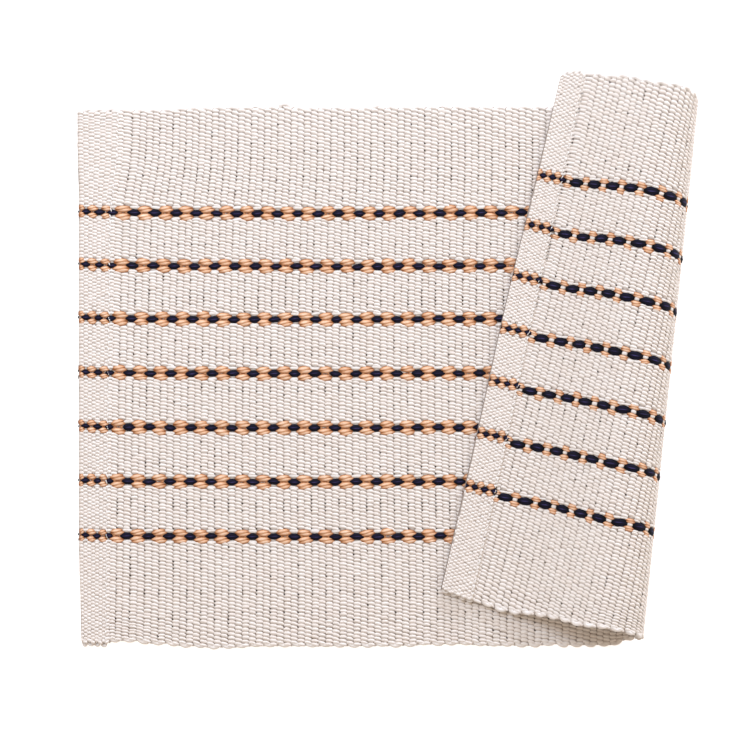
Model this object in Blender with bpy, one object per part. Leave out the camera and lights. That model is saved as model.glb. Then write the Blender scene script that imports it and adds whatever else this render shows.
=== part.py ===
"""Woven cotton placemat with its right end turned over.

The mat is one rectangle of thick rib cloth with a folded hem at each end.
A point of the flat mat is named by u, along the length from the left hem,
and by v, across the width from the near side edge.  One fold curve, made of
lines and arcs, carries every point to its place.  The fold runs at a small
angle to the cross threads, so the turned end lies askew on the rest.

Sizes in the tables are in millimetres and degrees.  The solid is in metres.
"""

import math

import bpy
import numpy as np

MM = 0.001

# The flat mat.
LENGTH = 492.0
WIDTH = 330.2
THICK = 2.4

# The far end was cut a little out of square.
END_SKEW = math.radians(1.45)

# Each end is folded to the back once and stitched, which makes it thicker.
HEM_WIDTH = 18.3
HEM_EXTRA = 1.2
HEM_STEP = 2.0

# The cross threads turn back at both side edges in small loops.
LOOP_PITCH = 8.32
LOOP_DEPTH = 1.4
EDGE_STRIP = 3.2
SIDE_WANDER = 0.7

# The fold across the mat: flat, up round the bend, over the crest, down a
# slope and flat again.  The turned end also slips a little to the far side.
FOLD_ANGLE = math.radians(5.85)
FLAT_RUN = 326.7
LOWER_RADIUS = 14.0
UPPER_RADIUS = 20.9
CREST_RADIUS = 26.0
LANDING_RADIUS = 50.0
FALL_ANGLE = math.radians(34.0)
SIDE_CREEP = 3.5
LAYER_GAP = 0.4

# How finely the cloth is divided.
STEPS_PER_LOOP = 3
STRIPS_ACROSS = 10

NATURAL_COTTON = (0.78, 0.73, 0.66, 1.0)
COTTON_ROUGHNESS = 0.9


def clear_scene():
    """Remove every object the new file starts with."""
    for item in list(bpy.data.objects):
        bpy.data.objects.remove(item, do_unlink=True)


def fold_segments():
    """List the fold curve as (length, turn) pairs, from the left hem on."""
    crest = LOWER_RADIUS + UPPER_RADIUS
    landed = THICK + LAYER_GAP
    rounding = (CREST_RADIUS + LANDING_RADIUS) * (1.0 - math.cos(FALL_ANGLE))
    slope = (crest - landed - rounding) / math.sin(FALL_ANGLE)
    quarter = math.pi / 2.0
    return [
        (FLAT_RUN, 0.0),
        (LOWER_RADIUS * quarter, quarter),
        (UPPER_RADIUS * quarter, quarter),
        (CREST_RADIUS * FALL_ANGLE, FALL_ANGLE),
        (slope, 0.0),
        (LANDING_RADIUS * FALL_ANGLE, -FALL_ANGLE),
        (LENGTH, 0.0),
    ]


def fold_curve(run):
    """Give the forward, upward and heading values at each run length."""
    forward = np.array(run, dtype=float)
    upward = np.zeros_like(forward)
    heading = np.zeros_like(forward)
    start, x, z, angle = 0.0, 0.0, 0.0, 0.0
    for length, turn in fold_segments():
        past = run >= start
        along = run[past] - start
        bend = turn / length
        new_angle = angle + bend * along
        if turn:
            forward[past] = x + (np.sin(new_angle) - math.sin(angle)) / bend
            upward[past] = z - (np.cos(new_angle) - math.cos(angle)) / bend
            x += (math.sin(angle + turn) - math.sin(angle)) / bend
            z -= (math.cos(angle + turn) - math.cos(angle)) / bend
        else:
            forward[past] = x + along * math.cos(angle)
            upward[past] = z + along * math.sin(angle)
            x += length * math.cos(angle)
            z += length * math.sin(angle)
        heading[past] = new_angle
        start += length
        angle += turn
    return forward, upward, heading


def smooth(share):
    """Rise smoothly from 0 to 1 while the share goes from 0 to 1."""
    t = np.clip(share, 0.0, 1.0)
    return t * t * (3.0 - 2.0 * t)


def place(u, v, height):
    """Carry flat points, height above the middle layer, to the folded mat."""
    lean, square = math.sin(FOLD_ANGLE), math.cos(FOLD_ANGLE)
    run = u * square - v * lean
    bend = (LOWER_RADIUS + UPPER_RADIUS) * math.pi / 2.0
    side = u * lean + v * square + SIDE_CREEP * smooth((run - FLAT_RUN) / bend)
    forward, upward, heading = fold_curve(run)
    forward = forward - height * np.sin(heading)
    upward = upward + height * np.cos(heading)
    x = forward * square + side * lean
    y = side * square - forward * lean
    return np.stack([x, y, upward + THICK / 2.0], axis=-1)


def flat_grid():
    """Lay out u and v of the flat mat, with looped sides and a skew end."""
    loops = int(LENGTH // LOOP_PITCH)
    steps = loops * STEPS_PER_LOOP
    share = np.linspace(0.0, 1.0, steps + 1)
    inner = np.linspace(EDGE_STRIP, WIDTH - EDGE_STRIP, STRIPS_ACROSS + 1)
    across = np.concatenate([[0.0], inner, [WIDTH]])
    end = LENGTH - math.tan(END_SKEW) * (across - WIDTH / 2.0)
    u = share[:, None] * end[None, :]
    v = np.repeat(across[None, :], steps + 1, axis=0)
    notch = (np.arange(steps + 1) % STEPS_PER_LOOP == 0) * LOOP_DEPTH
    wander = SIDE_WANDER * np.sin(share * 9.0) * np.cos(share * 5.0)
    v[:, 0] += notch + wander
    v[:, -1] -= notch - wander
    return u, v, end


def cloth_faces(rows, columns):
    """List the faces that close the front and back grids into one body."""
    index = np.arange(rows * columns).reshape(rows, columns)
    front = [index[:-1, :-1], index[1:, :-1], index[1:, 1:], index[:-1, 1:]]
    front = np.stack(front, axis=-1).reshape(-1, 4)
    back = front[:, ::-1] + rows * columns
    rim = np.concatenate([index[:, 0], index[-1, 1:], index[-2::-1, -1], index[0, -2:0:-1]])
    after = np.roll(rim, -1)
    under = rows * columns
    side = np.stack([rim, rim + under, after + under, after], axis=-1)
    return np.concatenate([front, back, side])


def build_mat():
    """Build the whole mat as one closed body."""
    u, v, end = flat_grid()
    left_hem = smooth((HEM_WIDTH - u) / HEM_STEP + 0.5)
    far_hem = smooth((u - end[None, :] + HEM_WIDTH) / HEM_STEP + 0.5)
    front = place(u, v, THICK / 2.0 + HEM_EXTRA * left_hem)
    back = place(u, v, -THICK / 2.0 - HEM_EXTRA * far_hem)
    points = np.concatenate([front.reshape(-1, 3), back.reshape(-1, 3)])
    low, high = points.min(axis=0), points.max(axis=0)
    middle = (low + high) / 2.0
    points -= np.array([middle[0], middle[1], low[2]])
    mesh = bpy.data.meshes.new("mat")
    faces = cloth_faces(*u.shape)
    mesh.from_pydata((points * MM).tolist(), [], faces.tolist())
    mesh.update()
    return bpy.data.objects.new("mat", mesh)


def cotton():
    """Make the plain finish of unbleached cotton."""
    finish = bpy.data.materials.new("natural_cotton")
    finish.use_nodes = True
    shader = finish.node_tree.nodes["Principled BSDF"]
    shader.inputs["Base Color"].default_value = NATURAL_COTTON
    shader.inputs["Roughness"].default_value = COTTON_ROUGHNESS
    shader.inputs["Metallic"].default_value = 0.0
    return finish


def main():
    """Make the folded mat and add it to the scene."""
    clear_scene()
    mat = build_mat()
    mat.data.materials.append(cotton())
    bpy.context.scene.collection.objects.link(mat)


main()
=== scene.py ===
"""Rib-woven cotton placemat with its right end turned over, on a pale table.

A point of the flat mat is named by s, along the length from the left hem, and
by v, across the width from the near side edge.  Every thread that shows is a
small surface of its own in (s, v, height), and Cloth.lay carries it to its
place on the fold.  Flat sizes are in millimetres; the frame is in metres.
"""

import logging
import math
from dataclasses import dataclass, field, replace
from enum import Enum

import bmesh
import bpy
import numpy as np
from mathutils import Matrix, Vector


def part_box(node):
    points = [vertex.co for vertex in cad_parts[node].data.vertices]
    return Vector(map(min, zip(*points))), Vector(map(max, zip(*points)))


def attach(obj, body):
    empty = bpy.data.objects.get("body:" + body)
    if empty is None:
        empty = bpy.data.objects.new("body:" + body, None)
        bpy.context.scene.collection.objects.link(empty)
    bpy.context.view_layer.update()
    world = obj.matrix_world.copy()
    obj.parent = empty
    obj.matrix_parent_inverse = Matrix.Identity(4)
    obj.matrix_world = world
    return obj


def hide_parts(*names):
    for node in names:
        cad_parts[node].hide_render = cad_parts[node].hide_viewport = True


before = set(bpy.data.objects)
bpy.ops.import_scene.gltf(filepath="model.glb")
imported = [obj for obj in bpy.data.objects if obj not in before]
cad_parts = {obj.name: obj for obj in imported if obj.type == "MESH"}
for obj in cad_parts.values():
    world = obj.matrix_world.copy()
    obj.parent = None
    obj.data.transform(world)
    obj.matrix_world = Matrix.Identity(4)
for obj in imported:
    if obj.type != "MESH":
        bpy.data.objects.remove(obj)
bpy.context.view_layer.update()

MM = 0.001
BODY = "root"
MAT_NODE = "mat"

# The flat mat, its cloth and the lean of its far hem, in millimetres.
LENGTH = 492.0
WIDTH = 330.2
THICK = 2.4
SEAM_LEAN = 0.011

Array = np.ndarray
Pair = tuple[float, float]
Piece = bpy.types.Object
Material = bpy.types.Material
Socket = bpy.types.NodeSocket

log = logging.getLogger("placemat")


class Face(Enum):
    """Side of the cloth that a thread shows on; the value is its sign."""

    FRONT = 1
    BACK = -1


class Sight(Enum):
    """How finely a float is divided: points along it and across it."""

    NEAR = (5, 4)
    HIDDEN = (4, 3)
    YARN_NEAR = (9, 9)
    YARN_HIDDEN = (5, 5)


class Yarn(Enum):
    """Yarns of a stripe; the value starts the name of their pieces."""

    TAN = "tan_yarn"
    NAVY = "navy_yarn"
    WEFT = "stripe_weft"


class Side(Enum):
    """Side edge of the mat; the value is the way out of the cloth."""

    NEAR = -1
    FAR = 1


class Mark(Enum):
    """Vertex attributes that the finishes read; the third value of thread is the exposure that they
    paint as shade.
    """

    THREAD = "thread"
    TINT = "tint"


class Seed(Enum):
    """Starts of the random differences, so that every run is the same."""

    STRIP = 900
    STRIPE = 2000
    SELVEDGE = 5000
    STITCHES = 7000
    GAPS = 8000
    GAP_SIZES = 8100


def smooth(share: Array) -> Array:
    """Rise smoothly from 0 to 1 while the share goes from 0 to 1."""
    t = np.clip(share, 0.0, 1.0)
    return t * t * (3.0 - 2.0 * t)


def rise(value: Array, start: float, length: float) -> Array:
    """Rise smoothly from 0 at the start to 1 a length further on."""
    return smooth((value - start) / length)


def spread(count: int, power: float) -> Array:
    """Divide -1 to 1 into points that crowd towards both ends."""
    even = np.linspace(-1.0, 1.0, count)
    return np.sign(even) * np.abs(even) ** power


def join(*parts: Array) -> Array:
    """Spread the parts to one shape and lay them side by side as a last axis."""
    return np.stack(np.broadcast_arrays(*parts), axis=-1)


def plain(values: list[Array], kind: type = np.float32) -> Array:
    """String values together as Blender's foreach_set takes them."""
    return np.concatenate(values).astype(kind).ravel()


def linear(hex_code: str) -> tuple[float, float, float, float]:
    """Turn an sRGB hex code into a linear colour.

    Args:
        hex_code: six hex digits, such as "F4EEE6".

    Returns:
        Red, green, blue and an alpha of 1.
    """
    parts = np.array([int(hex_code[k:k + 2], 16) for k in (0, 2, 4)]) / 255.0
    high = ((parts + 0.055) / 1.055) ** 2.4
    red, green, blue = np.where(parts <= 0.04045, parts / 12.92, high).tolist()
    return (red, green, blue, 1.0)


# The cloth: where a flat point lies


def arc(along: Array | float, length: float, turn: float, angle: float) -> tuple[Array, Array]:
    """Go along a line or an arc: x = (sin turned - sin angle) / bend, and so on.

    Args:
        along: how far to go.
        length: whole length of the line or arc.
        turn: how far the heading turns over it, 0 for a line.
        angle: heading at its start.

    Returns:
        How far forward and how far up that leads.
    """
    if not turn:
        return along * math.cos(angle), along * math.sin(angle)
    bend = turn / length
    turned = angle + bend * along
    return (np.sin(turned) - math.sin(angle)) / bend, (math.cos(angle) - np.cos(turned)) / bend


@dataclass(frozen=True)
class FoldCurve:
    """Side view of the fold: a flat run, two bends, a slope and a landing."""

    flat_run: float = 326.7
    lower_radius: float = 14.0
    upper_radius: float = 20.9
    crest_radius: float = 26.0
    landing_radius: float = 50.0
    fall: float = math.radians(34.0)
    layer_gap: float = 0.4

    @property
    def bend(self) -> float:
        """Length of cloth in the two bends up to the crest."""
        return (self.lower_radius + self.upper_radius) * math.pi / 2.0

    def segments(self) -> list[Pair]:
        """List the curve from the left hem on.

        Returns:
            Length and turn of each line and arc.
        """
        crest = self.lower_radius + self.upper_radius
        rounding = (self.crest_radius + self.landing_radius) * (1.0 - math.cos(self.fall))
        slope = (crest - THICK - self.layer_gap - rounding) / math.sin(self.fall)
        quarter = math.pi / 2.0
        return [(self.flat_run, 0.0),
                (self.lower_radius * quarter, quarter),
                (self.upper_radius * quarter, quarter),
                (self.crest_radius * self.fall, self.fall),
                (slope, 0.0),
                (self.landing_radius * self.fall, -self.fall),
                (LENGTH, 0.0)]

    def follow(self, run: Array) -> tuple[Array, Array, Array]:
        """Walk along the curve: lines keep the heading, arcs turn it evenly.

        Args:
            run: length of cloth from the left hem, square to the fold.

        Returns:
            Forward and upward places, and the heading in radians.
        """
        forward = np.array(run, dtype=float)
        upward, heading = np.zeros_like(forward), np.zeros_like(forward)
        start, x, z, angle = 0.0, 0.0, 0.0, 0.0
        for length, turn in self.segments():
            past = run >= start
            along = run[past] - start
            right, up = arc(along, length, turn, angle)
            forward[past], upward[past] = x + right, z + up
            heading[past] = angle + turn / length * along
            right, up = arc(length, length, turn, angle)
            x, z, start, angle = x + right, z + up, start + length, angle + turn
        return forward, upward, heading


@dataclass(frozen=True)
class EdgeLine:
    """How far a side edge is drawn into the cloth, from place to place along it."""

    places: tuple[float, ...]
    depths: tuple[float, ...]

    def depth(self, s: Array) -> Array:
        """Run straight from place to place."""
        return np.interp(s, self.places, self.depths)


NEAR_EDGE = EdgeLine(
    (18.0, 22.0, 37.0, 46.0, 54.0, 62.0, 72.0, 80.0, 97.0, 105.0, 115.0, 200.0, 208.0,
     217.0, 235.0, 243.0, 278.0, 286.0, 294.0, 323.0, 334.0, 384.0, 400.0, 422.0, 433.0,
     444.0, 457.0, 466.0, 477.0, 489.0),
    (0.0, 1.8, 2.3, 0.5, 0.8, -0.6, -0.8, -1.6, -1.6, -0.95, -0.7, -0.7, -0.15,
     0.43, 0.43, -0.5, -1.0, 0.27, -0.75, -0.75, 2.8, 2.9, 0.6, 0.9, -0.75,
     -2.4, -2.4, -1.4, -1.6, 0.8))
FAR_EDGE = EdgeLine(
    (2.0, 20.0, 45.0, 62.0, 71.0, 80.0, 114.0, 140.0, 157.0, 190.0, 217.0, 260.0, 277.0,
     388.0, 405.0, 415.0, 424.0, 431.0, 441.0, 450.0, 460.0, 478.0, 486.0, 492.0),
    (2.2, 0.8, 0.2, -1.4, -0.9, -1.5, -1.7, -1.1, -1.3, -1.6, -1.6, -1.5, -1.1,
     -0.4, -2.5, -2.8, -1.6, -1.2, -2.2, -3.0, -1.2, -1.1, 0.2, 2.6))


@dataclass(frozen=True)
class Drift:
    """How the threads stray from a square net on the flat mat.

    A pair whose name ends in _rise is the start and length of a smooth step,
    and one that ends in _fade is a size and how far it takes to die away.
    """

    lean_span: float = 198.0
    lean_places: tuple[float, ...] = (0.0, 12.0, 28.0, 225.0, 492.0)
    lean_shifts: tuple[float, ...] = (0.0, 1.3, 4.5, 0.0, -5.0)
    fan: float = 4.6
    fan_rise: Pair = (262.0, 45.0)
    fan_run: Pair = (24.0, 60.0)
    bow: Pair = (0.3, 1.05)
    bow_middle: float = 166.0
    bow_span: Pair = (125.0, 99.0)
    bow_start: float = 60.0
    bow_end_rise: Pair = (300.0, 50.0)
    left_fade: Pair = (-0.7, 10.0)
    near_corner_fade: Pair = (1.35, 2.5)
    near_corner_rise: Pair = (15.0, 35.0)
    far_corner_fade: Pair = (-1.05, 8.0)
    far_corner_rise: Pair = (275.0, 35.0)
    bulge: float = 1.2
    bulge_middle: Pair = (190.0, 75.0)
    bulge_rise: Pair = (468.0, 12.0)
    start_fade: Pair = (0.9, 18.0)
    wave: Pair = (0.45, 260.0)
    wave_end: Pair = (330.0, 60.0)
    dip: Pair = (1.3, 1.2)
    dip_rise: Pair = (425.0, 45.0)
    dip_more_rise: Pair = (165.0, 100.0)
    dip_margins: Pair = (60.0, 55.0)
    edge_fade: float = 18.0

    def along(self, s: Array, v: Array) -> Array:
        """Shift the cross threads along the length.

        They stand square at the left end, lean one way behind the hem, fan
        out in its far corner and lean the other way at the far end, which was
        cut askew.  Their ends run ahead of their middle, by a bow that grows
        with the square of the distance from it and fades out at the fold.  The
        left end swells a little, is drawn in at its near corner and out at its
        far one, and the far end bulges.

        Args:
            s: place along the length.
            v: place across the width.

        Returns:
            The shift at each place.
        """
        shift = (v - WIDTH / 2.0) / self.lean_span * np.interp(s, self.lean_places, self.lean_shifts)
        full, reach = self.fan_run
        fan = self.fan * rise(v, *self.fan_rise) * smooth(s / full)
        shift = shift + fan * np.exp(-np.maximum(s - full, 0.0) / reach)
        off = np.minimum(np.abs(v - self.bow_middle), self.bow_span[0]) / self.bow_span[1]
        bow = (self.bow[0] + self.bow[1] * off ** 2) * smooth(s / self.bow_start)
        shift = shift + bow * (1.0 - rise(s, *self.bow_end_rise))
        near, far = 1.0 - rise(v, *self.near_corner_rise), rise(v, *self.far_corner_rise)
        for (size, reach), share in ((self.left_fade, 1.0), (self.near_corner_fade, near),
                                     (self.far_corner_fade, far)):
            shift = shift + size * share * np.exp(-s / reach)
        middle, reach = self.bulge_middle
        bulge = self.bulge * np.exp(-((v - middle) / reach) ** 2)
        return shift + bulge * rise(s, *self.bulge_rise)

    def across(self, s: Array, v: Array) -> Array:
        """Shift the long threads across the width.

        They wander a little, dip towards the far hem and follow the side edges.

        Args:
            s: place along the length.
            v: place across the width.

        Returns:
            The shift at each place.
        """
        (size, reach), (swing, half_wave), (end, tail) = self.start_fade, self.wave, self.wave_end
        wander = size * np.exp(-s / reach) - swing * np.sin(np.pi * s / half_wave)
        wander = wander * np.exp(-np.maximum(s - end, 0.0) / tail)
        inner = smooth(v / self.dip_margins[0]) * smooth((WIDTH - v) / self.dip_margins[1])
        dip = self.dip[0] + self.dip[1] * rise(v, *self.dip_more_rise)
        near = NEAR_EDGE.depth(s) * (1.0 - smooth(v / self.edge_fade))
        far = FAR_EDGE.depth(s) * (1.0 - smooth((WIDTH - v) / self.edge_fade))
        return wander - dip * inner * rise(s, *self.dip_rise) + near - far


@dataclass(frozen=True)
class Cloth:
    """The whole mat: its hems and how it is folded."""

    origin: tuple[float, float, float]
    hem_width: float = 18.3
    hem_extra: float = 1.2
    hem_step: float = 0.8
    left_seam: Pair = (19.3, 3.0)
    end_radius: float = 1.9
    end_flat: float = 0.12
    # How far in from the left end the floats are painted darker, as shade on the rounded end.
    end_shade: float = 2.2
    fold_angle: float = math.radians(5.85)
    side_creep: float = 3.5
    seen_past: Pair = (26.0, -4.0)
    drift: Drift = Drift()
    curve: FoldCurve = FoldCurve()

    def run(self, s: Array, v: Array) -> Array:
        """Length of cloth square to the fold, from the left hem."""
        return s * math.cos(self.fold_angle) - v * math.sin(self.fold_angle)

    def seam(self, v: Array) -> Array:
        """Place of the far seam on the back, which runs a little askew."""
        return LENGTH - self.hem_width + SEAM_LEAN * (v - WIDTH / 2.0)

    def hem(self, s: Array, v: Array, sign: Array | float) -> Array:
        """Extra height of a hem: on the front at the left, the back at the far end.

        Args:
            s: place along the length.
            v: place across the width.
            sign: 1 on the front face and -1 on the back face.

        Returns:
            The height to add there.
        """
        left = smooth((self.left_seam[0] - s) / self.left_seam[1] + 0.5)
        far = smooth((s - self.seam(v)) / self.hem_step + 0.5)
        return self.hem_extra * np.where(np.asarray(sign) > 0, left, far)

    def lay(self, s: Array, v: Array, height: Array, sign: Array | float) -> Array:
        """Carry flat points to the folded mat.

        Both ends are rounded: the height shrinks towards the middle of the
        hem as a quarter circle of the end radius.

        Args:
            s: place along the length, counted in threads.
            v: place across the width.
            height: distance off the middle of the cloth, outwards.
            sign: 1 on the front face and -1 on the back face.

        Returns:
            Points in the frame, in metres, with the shape of s plus one axis.
        """
        s, v, height = np.broadcast_arrays(s, v, height)
        inside = np.clip(np.minimum(s, LENGTH - s) / self.end_radius, 0.0, 1.0)
        roundness = self.end_flat + (1.0 - self.end_flat) * np.sqrt(1.0 - (1.0 - inside) ** 2)
        middle = (self.hem(s, v, 1.0) - self.hem(s, v, -1.0)) / 2.0
        offset = middle + (sign * (height + self.hem(s, v, sign)) - middle) * roundness
        u, across = s + self.drift.along(s, v), v + self.drift.across(s, v)
        run = self.run(u, across)
        lean, square = math.sin(self.fold_angle), math.cos(self.fold_angle)
        creep = self.side_creep * rise(run, self.curve.flat_run, self.curve.bend)
        side = u * lean + across * square + creep
        forward, upward, heading = self.curve.follow(run)
        forward = forward - offset * np.sin(heading)
        upward = upward + offset * np.cos(heading) + THICK / 2.0
        place = join(forward * square + side * lean, side * square - forward * lean, upward)
        return np.array(self.origin) + place * MM

    def seen(self, s: Array, v: Array, face: Face) -> Array:
        """Tell which floats look outwards: the base's front, the flap's back.

        Args:
            s: place along the length.
            v: place across the width.
            face: side of the cloth that they are on.

        Returns:
            True for each float that can be looked at.
        """
        past = self.run(s, v) - self.curve.flat_run
        if face is Face.FRONT:
            return past < self.seen_past[0]
        return past > self.seen_past[1]


@dataclass(frozen=True)
class Columns:
    """Neighbouring picks: where each starts, how wide it is, and its number."""

    start: Array
    width: Array
    number: Array

    @property
    def middle(self) -> Array:
        """Middle of each pick along the length."""
        return self.start + self.width / 2.0

    def only(self, keep: Array) -> "Columns":
        """Keep the picks where keep is true."""
        return Columns(self.start[keep], self.width[keep], self.number[keep])

    def spans(self, phase: int, count: int) -> tuple[Array, Array]:
        """Join the picks that one stripe float passes over, in each repeat of three.

        Args:
            phase: number, modulo three, of the first pick of the float.
            count: how many picks it passes over.

        Returns:
            Middle and length of each such run, whole or cut off at an end.
        """
        repeat, step = np.divmod(self.number - phase, 3)
        low, high = [], []
        for turn in np.unique(repeat[step < count]):
            inside = (repeat == turn) & (step < count)
            low.append(self.start[inside].min())
            high.append((self.start + self.width)[inside].max())
        low, high = np.array(low), np.array(high)
        return (low + high) / 2.0, high - low


@dataclass(frozen=True)
class Weave:
    """Counts and pitches of the rib weave, read off the photograph."""

    hem_start: float = 0.4
    hem_pitch: float = 2.42
    hem_picks: int = 8
    rib_pitch: float = 4.205
    rib_picks: int = 107
    flap_shift: float = 1.0
    flap_rise: Pair = (330.0, 50.0)
    left_strip: Pair = (0.72, 2.16)
    far_strip: Pair = (-2.07, 2.05)
    strip_picks: tuple[int, int] = (8, 10)
    row_pitch: float = 2.2
    edge: float = 4.6
    stripes: tuple[float, ...] = (66.86, 100.4, 133.55, 166.86, 200.1, 232.7, 265.16)
    stripe_half: float = 4.6

    def is_rib(self, number: Array) -> Array:
        """Tell the ribs from the fine picks of both hems."""
        return (number >= self.hem_picks) & (number < self.hem_picks + self.rib_picks)

    def front(self) -> Columns:
        """Work out the picks of the front face.

        Returns:
            All picks, from end to end.
        """
        left = self.hem_start + self.hem_pitch * np.arange(self.hem_picks)
        ribs = left[-1] + self.hem_pitch + self.rib_pitch * np.arange(self.rib_picks)
        ribs = ribs + self.flap_shift * rise(ribs, *self.flap_rise)
        first_far = ribs[-1] + self.rib_pitch
        far = np.linspace(first_far, LENGTH - self.hem_start, self.hem_picks + 1)
        edges = np.concatenate([left, ribs, far])
        return Columns(edges[:-1], np.diff(edges), np.arange(len(edges) - 1))

    def back(self) -> Columns:
        """Work out the picks of the back face.

        Returns:
            The picks between the two hem strips, the first and last cut to fit.
        """
        both = self.front()
        ribs = both.only(self.is_rib(both.number))
        left = self.left_strip[0] + self.left_strip[1] * self.strip_picks[0]
        far = LENGTH - self.far_strip[0] - self.far_strip[1] * self.strip_picks[1]
        last = ribs.start[-1] + ribs.width[-1]
        start = np.concatenate([[left], ribs.start, [last]])
        width = np.concatenate([[start[1] - left], ribs.width, [far - last]])
        number = np.concatenate([ribs.number[:1] - 1, ribs.number, ribs.number[-1:] + 1])
        return Columns(start, width, number)

    def strip(self, far: bool) -> Columns:
        """Work out the picks of one hem strip.

        Args:
            far: True for the far hem, False for the left one.

        Returns:
            Its picks, counted from 1 at its end of the mat.
        """
        first, pitch = self.far_strip if far else self.left_strip
        step = np.arange(self.strip_picks[far])
        start = first + pitch * step
        if far:
            start = LENGTH - start - pitch
        return Columns(start, np.full(len(step), pitch), step + 1)

    def bands(self) -> list[Pair]:
        """Find the plain bands between the stripes.

        Returns:
            Near and far side of each.
        """
        middles = np.array(self.stripes)
        low = [self.edge, *(middles + self.stripe_half)]
        high = [*(middles - self.stripe_half), WIDTH - self.edge]
        return list(zip(low, high))


@dataclass(frozen=True)
class StripLay:
    """How the far hem strip sits on the back: askew and slipped a little sideways."""

    end_gap: float = 0.45
    slip_places: tuple[float, ...] = (0.0, 70.0, 170.0, 235.0, 266.0, 330.0)
    slips: tuple[float, ...] = (1.5, 2.65, 1.85, 1.85, 0.7, 0.0)

    def lean(self, v: Array) -> Array:
        """Shift along the length at each place across."""
        return SEAM_LEAN * (v - WIDTH / 2.0)

    def shift(self, s: Array, v: Array) -> tuple[Array, Array]:
        """Move strip threads: along by the lean, across by a slip that varies."""
        moved = np.clip(s + self.lean(v), None, LENGTH - self.end_gap)
        return moved, v + np.interp(v, self.slip_places, self.slips)


FAR_STRIP = StripLay()


# Surfaces: grids of points and the meshes made of them

CORNERS = ((0, 0), (1, 0), (1, 1), (0, 1))
CHART_SHARE = 0.86


@dataclass
class Grids:
    """Many like grids of points, each a small surface.

    points is (grids, rows, columns, 3); thread holds s, v and how exposed the
    point is from 0 to 1, which the finishes paint as shade; tint is one number a
    grid; chart is the place of each grid corner in the piece's own flat layout,
    one column wider than points where the grid closes on itself.
    """

    points: Array
    thread: Array
    tint: Array
    chart: Array
    closed: bool = False

    def faces(self) -> tuple[Array, Array]:
        """Work out the faces of all grids.

        Returns:
            Vertex numbers and chart places, four of each to a face.
        """
        count, rows, columns = self.points.shape[:3]
        wide = columns if self.closed else columns - 1
        grid, row, column = np.meshgrid(
            np.arange(count), np.arange(rows - 1), np.arange(wide), indexing="ij")
        numbers, places = [], []
        for down, right in CORNERS:
            at = (row + down, (column + right) % columns)
            numbers.append(((grid * rows + at[0]) * columns + at[1]).ravel())
            places.append(self.chart[grid, row + down, column + right].reshape(-1, 2))
        return np.stack(numbers, axis=1), np.stack(places, axis=1)


def build_piece(name: str, parts: list[Grids], finish: Material) -> Piece:
    """Join grids into one smooth mesh with its chart and thread attributes.

    Args:
        name: name of the new piece.
        parts: the grids, in metres, faces outwards.
        finish: the piece's material.

    Returns:
        The new object, at the origin and linked to the scene.
    """
    faces, places, tints, first = [], [], [], 0
    for part in parts:
        numbers, chart = part.faces()
        grids, rows, columns = part.points.shape[:3]
        faces.append(numbers + first)
        places.append(chart)
        tints.append(np.repeat(part.tint, rows * columns))
        first += grids * rows * columns
    faces = plain(faces, np.int32)
    mesh = bpy.data.meshes.new(name)
    mesh.vertices.add(first)
    mesh.vertices.foreach_set("co", plain([part.points.reshape(-1, 3) for part in parts]))
    mesh.loops.add(faces.size)
    mesh.loops.foreach_set("vertex_index", faces)
    mesh.polygons.add(faces.size // 4)
    mesh.polygons.foreach_set("loop_start", np.arange(0, faces.size, 4, dtype=np.int32))
    mesh.update(calc_edges=True)
    mesh.uv_layers.new(name="OFBake").uv.foreach_set("vector", plain(places))
    thread = mesh.attributes.new(Mark.THREAD.value, "FLOAT_VECTOR", "POINT")
    thread.data.foreach_set("vector", plain([part.thread.reshape(-1, 3) for part in parts]))
    tint = mesh.attributes.new(Mark.TINT.value, "FLOAT", "POINT")
    tint.data.foreach_set("value", plain(tints))
    mesh.shade_smooth()
    mesh.materials.append(finish)
    piece = bpy.data.objects.new(name, mesh)
    bpy.context.scene.collection.objects.link(piece)
    return piece


def weld(piece: Piece) -> None:
    """Merge the points that grids of one piece share along their edges.

    Args:
        piece: the piece whose mesh is welded.
    """
    shell = bmesh.new()
    shell.from_mesh(piece.data)
    bmesh.ops.remove_doubles(shell, verts=shell.verts, dist=1e-6)
    shell.to_mesh(piece.data)
    shell.free()


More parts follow.
